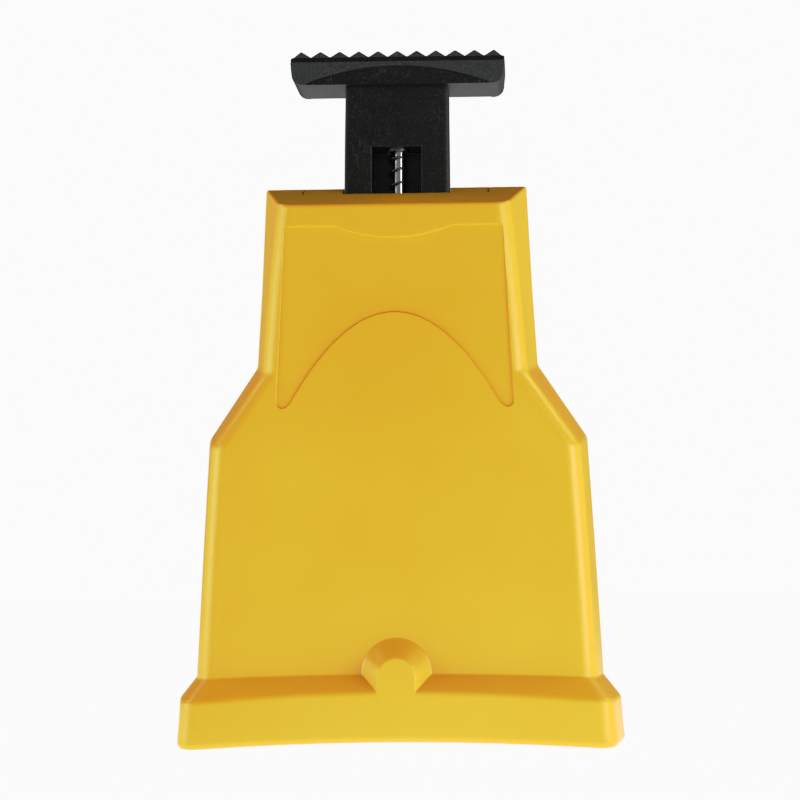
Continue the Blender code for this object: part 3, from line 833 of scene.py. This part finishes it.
# ---- spring, rod, screws ----
def coil(z0, z1):
    """Right-handed spring with closed end turns."""
    per_turn, ring = 40, 12
    steps = int(SPRING_TURNS * per_turn)
    end = 1.0 / SPRING_TURNS
    pts = []
    for t in np.linspace(0.0, 1.0, steps + 1):
        lead = np.interp(t, [0, end, 1 - end, 1],
                         [0, 0.55 * end, 1 - 0.55 * end, 1])
        a = 2 * math.pi * SPRING_TURNS * t
        pts.append(Vector((ROD_X + SPRING_R * math.cos(a), SPRING_R * math.sin(a),
                           z0 + WIRE_R + (z1 - z0 - 2 * WIRE_R) * lead)))
    rings = []
    for i, p in enumerate(pts):
        d = (pts[min(i + 1, steps)] - pts[max(i - 1, 0)]).normalized()
        out = Vector((p.x - ROD_X, p.y, 0)).normalized()
        side = d.cross(out).normalized()
        rings.append([tuple(p + WIRE_R * (math.cos(b) * out + math.sin(b) * side))
                      for b in [2 * math.pi * k / ring for k in range(ring)]])
    return loft("coil", rings)


def return_spring():
    lo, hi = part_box("return_spring")
    ob = shade(coil(lo.z / MM, hi.z / MM))
    place(ob, "return_spring_coil", "rear_half", "spring_wire", MAT["spring"],
          replaces=("return_spring",))
    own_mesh(ob)
    return ob


def spring_rod():
    profile = [(103.3, 1.1), (103.5, 1.36), (103.6, ROD_R), (103.85, ROD_R),
               (103.86, 1.1), (104.8, 1.1), (104.81, ROD_R), (137.9, ROD_R),
               (138.2, ROD_R - 0.05), (138.4, ROD_R - 0.18), (138.5, 1.1)]
    ob = shade(turned("z", (ROD_X, 0, 0), profile, 64))
    lean(ob)
    return place(ob, "spring_rod_plated", "push_block", "rod_chrome",
                 MAT["chrome"], replaces=("spring_rod",))


def screw(node, body, axis, centre, head, tip, r, head_r, head_h):
    """Pan head screw with a cross recess and a rolled thread."""
    s = 1 if tip > head else -1
    dome = [(0.0, 0.30), (0.03, 0.52), (0.10, 0.72), (0.22, 0.86),
            (0.40, 0.95), (0.62, 1.0), (0.94, 1.0), (1.0, 0.97)]
    profile = [(head + s * head_h * a, head_r * b) for a, b in dome]
    profile.append((head + s * (head_h + 0.01), r))
    shank = [head + s * (head_h + 0.25), tip - s * r * 0.9]
    turns = max(3, int(abs(shank[1] - shank[0]) / 0.62))
    for k in range(turns):
        p = shank[0] + (shank[1] - shank[0]) * k / turns
        q = (shank[1] - shank[0]) / turns
        profile += [(p, r * 0.84), (p + q * 0.35, r), (p + q * 0.5, r),
                    (p + q * 0.85, r * 0.84)]
    profile.append((tip, r * 0.35))
    ob = turned(axis, centre, profile, 32)
    i = "xyz".index(axis)
    j, n = [m for m in range(3) if m != i]
    deep = head + s * min(1.0, head_h * 0.75)
    for wide, thin in ((0.55, 0.15), (0.15, 0.55)):
        rings = []
        for pos, k in ((head - s * 0.3, 1.05), (deep, 0.55)):
            a, b = head_r * wide, head_r * thin
            if wide > thin:
                a *= k
            else:
                b *= k
            corners = [(-a, -b), (a, -b), (a, b), (-a, b)]
            ring = []
            for u, v in corners:
                p = [0.0, 0.0, 0.0]
                p[i], p[j], p[n] = pos, centre[j] + u, centre[n] + v
                ring.append(tuple(p))
            rings.append(ring)
        cut(ob, loft("tool", rings))
    shade(ob, 40.0)
    return place(ob, node + "_cross", body, "screw_zinc", MAT["zinc"],
                 replaces=(node,))


def screws():
    for side, s in (("left", -1), ("right", 1)):
        screw("guide_plate_screw_" + side, "rear_half", "y",
              (s * GUIDE_SCREW[0], 0, GUIDE_SCREW[1]), -8.75, 2.6, 1.25, 2.5, 1.55)
    for where, z in zip(("lower", "upper"), BAR_PIN_Z):
        screw("bar_pin_screw_" + where, "rear_half", "y", (0, 0, z),
              BODY_D - 0.1, 6.4, 1.6, 3.5, 1.6)
    for side, s in (("left", -1), ("right", 1)):
        screw("carrier_screw_" + side, "push_block", "z",
              (s * CARRIER_SCREW_X, 0, 0), 97.8, 108.6, 1.25, 2.7, 2.0)
    for side, s in (("left", -1), ("right", 1)):
        screw("keeper_screw_" + side, "push_block", "y",
              (s * KEEPER_SCREW[0], 0, KEEPER_SCREW[1]), -7.05, 0.9, 0.95, 1.9, 1.0)


def carried_nodes():
    """CAD nodes whose shape is right: only their finish is improved."""
    finishes = {"guide_plate": "plate", "stone_keeper": "plate",
                "bar_pin_lower": "pin", "bar_pin_upper": "pin",
                "hinge_pin_left": "pin", "hinge_pin_right": "pin",
                "spring_seat": "washer", "spring_cap": "spring",
                "rod_clip": "washer", "socket_bush_lower": "brass",
                "socket_bush_upper": "brass", "stone_carrier": "carrier",
                "sharpening_stone": "stone"}
    for node, key in finishes.items():
        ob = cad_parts[node]
        for s in ob.material_slots:
            s.material = MAT[key]


# ---- stage, light, camera ----
def stage():
    """Floor that glows by itself: even to the camera, uneven to the part."""
    me = bpy.data.meshes.new("floor")
    r = 4.0
    me.from_pydata([(-r, -r, -5e-5), (r, -r, -5e-5), (r, r, -5e-5),
                    (-r, r, -5e-5)], [], [(0, 1, 2, 3)])
    ob = bpy.data.objects.new("studio_floor", me)
    bpy.context.scene.collection.objects.link(ob)
    f = Finish("floor_white", Base_Color=(0.012, 0.012, 0.012, 1.0), Roughness=1.0,
               Specular_IOR_Level=0.0)
    far = f.node("VectorMath", {0: f.coord}, operation="LENGTH").outputs["Value"]
    east = f.node("SeparateXYZ", {0: f.coord}).outputs["X"]
    glow = f.calc("MULTIPLY", f.remap(far, 0.2, 1.0, 1.28, 0.38),
                  f.remap(east, -0.4, 0.4, 0.76, 1.0))
    seen = f.node("LightPath").outputs["Is Camera Ray"]
    f.tree.links.new(f.remap(seen, 0.0, 1.0, glow, 0.975),
                     f.shader.inputs["Emission Strength"])
    f.shader.inputs["Emission Color"].default_value = (1.0, 0.998, 0.998, 1.0)
    me.materials.append(f.mat)


def sky():
    """Brightest at the sides, dim overhead and behind; plain to the camera."""
    w = bpy.data.worlds.new("studio")
    bpy.context.scene.world = w
    w.use_nodes = True
    t = w.node_tree
    t.nodes.clear()
    new = t.nodes.new
    link = t.links.new
    coord = new("ShaderNodeTexCoord")
    split = new("ShaderNodeSeparateXYZ")
    link(coord.outputs["Generated"], split.inputs[0])
    up = new("ShaderNodeValToRGB")
    ramp = up.color_ramp
    ramp.elements[0].position = 0.0
    ramp.elements[0].color = (0.98, 0.98, 0.98, 1)
    ramp.elements[1].position = 0.72
    ramp.elements[1].color = (0.22, 0.20, 0.18, 1)
    e = ramp.elements.new(0.52)
    e.color = (0.06, 0.055, 0.05, 1)
    e = ramp.elements.new(0.22)
    e.color = (0.90, 0.89, 0.88, 1)
    e = ramp.elements.new(0.42)
    e.color = (0.12, 0.10, 0.08, 1)
    link(split.outputs["Z"], up.inputs[0])
    depth = new("ShaderNodeMapRange")
    link(split.outputs["Y"], depth.inputs["Value"])
    depth.inputs["From Min"].default_value = -1.0
    by_depth = new("ShaderNodeValToRGB")
    link(depth.outputs["Result"], by_depth.inputs[0])
    walls = by_depth.color_ramp
    for spot, v in ((0.30, 0.34), (0.50, 1.0), (0.62, 1.0), (0.80, 0.34)):
        walls.elements.new(spot).color = (v, v, v, 1)
    walls.elements[0].color = (0.34, 0.34, 0.34, 1)
    walls.elements[-1].color = (0.14, 0.14, 0.14, 1)
    scaled = new("ShaderNodeVectorMath")
    scaled.operation = "SCALE"
    link(up.outputs["Color"], scaled.inputs[0])
    link(by_depth.outputs["Color"], scaled.inputs["Scale"])
    around = new("ShaderNodeBackground")
    link(scaled.outputs[0], around.inputs["Color"])
    around.inputs["Strength"].default_value = 1.0
    plain = new("ShaderNodeBackground")
    plain.inputs["Color"].default_value = (0.985, 0.98, 0.985, 1)
    path = new("ShaderNodeLightPath")
    mix = new("ShaderNodeMixShader")
    link(path.outputs["Is Camera Ray"], mix.inputs[0])
    link(around.outputs[0], mix.inputs[1])
    link(plain.outputs[0], mix.inputs[2])
    out = new("ShaderNodeOutputWorld")
    link(mix.outputs[0], out.inputs["Surface"])


def area_light(name, size, at, aim, watts, colour=(1, 1, 1)):
    data = bpy.data.lights.new(name, "AREA")
    data.shape = "RECTANGLE"
    data.size, data.size_y = size
    data.energy = watts
    data.color = colour
    ob = bpy.data.objects.new(name, data)
    bpy.context.scene.collection.objects.link(ob)
    ob.location = at
    ob.rotation_mode = "QUATERNION"
    ob.rotation_quaternion = (Vector(aim) - Vector(at)).to_track_quat("-Z", "Y")


def picture_contrast():
    """The contrast of a finished product photograph."""
    v = bpy.context.scene.view_settings
    v.view_transform = "Standard"
    v.use_curve_mapping = True
    c = v.curve_mapping.curves[3]
    c.points[0].location = (0.0, 0.0)
    c.points[-1].location = (1.0, 0.988)
    for x, y in ((0.05, 0.036), (0.18, 0.145), (0.33, 0.325), (0.50, 0.590),
                 (0.78, 0.775)):
        c.points.new(x, y)
    v.curve_mapping.update()


def lights():
    mid = (0.0, 0.0, 0.07)
    area_light("key_right", (0.56, 0.5), (0.80, -0.50, 0.09), mid, 5.6)
    area_light("key_left", (0.46, 0.5), (-0.72, -0.24, 0.09), mid, 2.7)
    for side, x, watts in (("left", -0.62, 1.2), ("right", 0.62, 1.7)):
        area_light("top_" + side, (0.3, 0.2), (x, 0.12, 0.66), (0.0, 0.0, 0.11),
                   watts, (1.0, 0.86, 0.74))


def camera():
    """Half a metre off, near floor height, a little right of the object."""
    dist, height = 0.5, 0.0366
    round_, pan = math.radians(2.3), math.radians(0.06)
    tilt, roll = math.radians(4.71), math.radians(0.42)
    a = round_ - pan
    fwd = Vector((-math.sin(a) * math.cos(tilt), math.cos(a) * math.cos(tilt),
                  math.sin(tilt)))
    right = Vector((math.cos(a), math.sin(a), 0.0))
    up = right.cross(fwd)
    r2 = right * math.cos(roll) - up * math.sin(roll)
    u2 = right * math.sin(roll) + up * math.cos(roll)
    data = bpy.data.cameras.new("camera")
    data.sensor_width = 36.0
    data.lens = 98.37
    data.clip_start = 0.01
    ob = bpy.data.objects.new("camera", data)
    bpy.context.scene.collection.objects.link(ob)
    m = Matrix((r2, u2, -fwd)).transposed().to_4x4()
    m.translation = Vector((dist * math.sin(round_), -dist * math.cos(round_),
                            height))
    ob.matrix_world = m
    bpy.context.scene.camera = ob


front_cover()
rear_shell()
push_slide()
return_spring()
spring_rod()
screws()
carried_nodes()
stage()
sky()
lights()
camera()
picture_contrast()
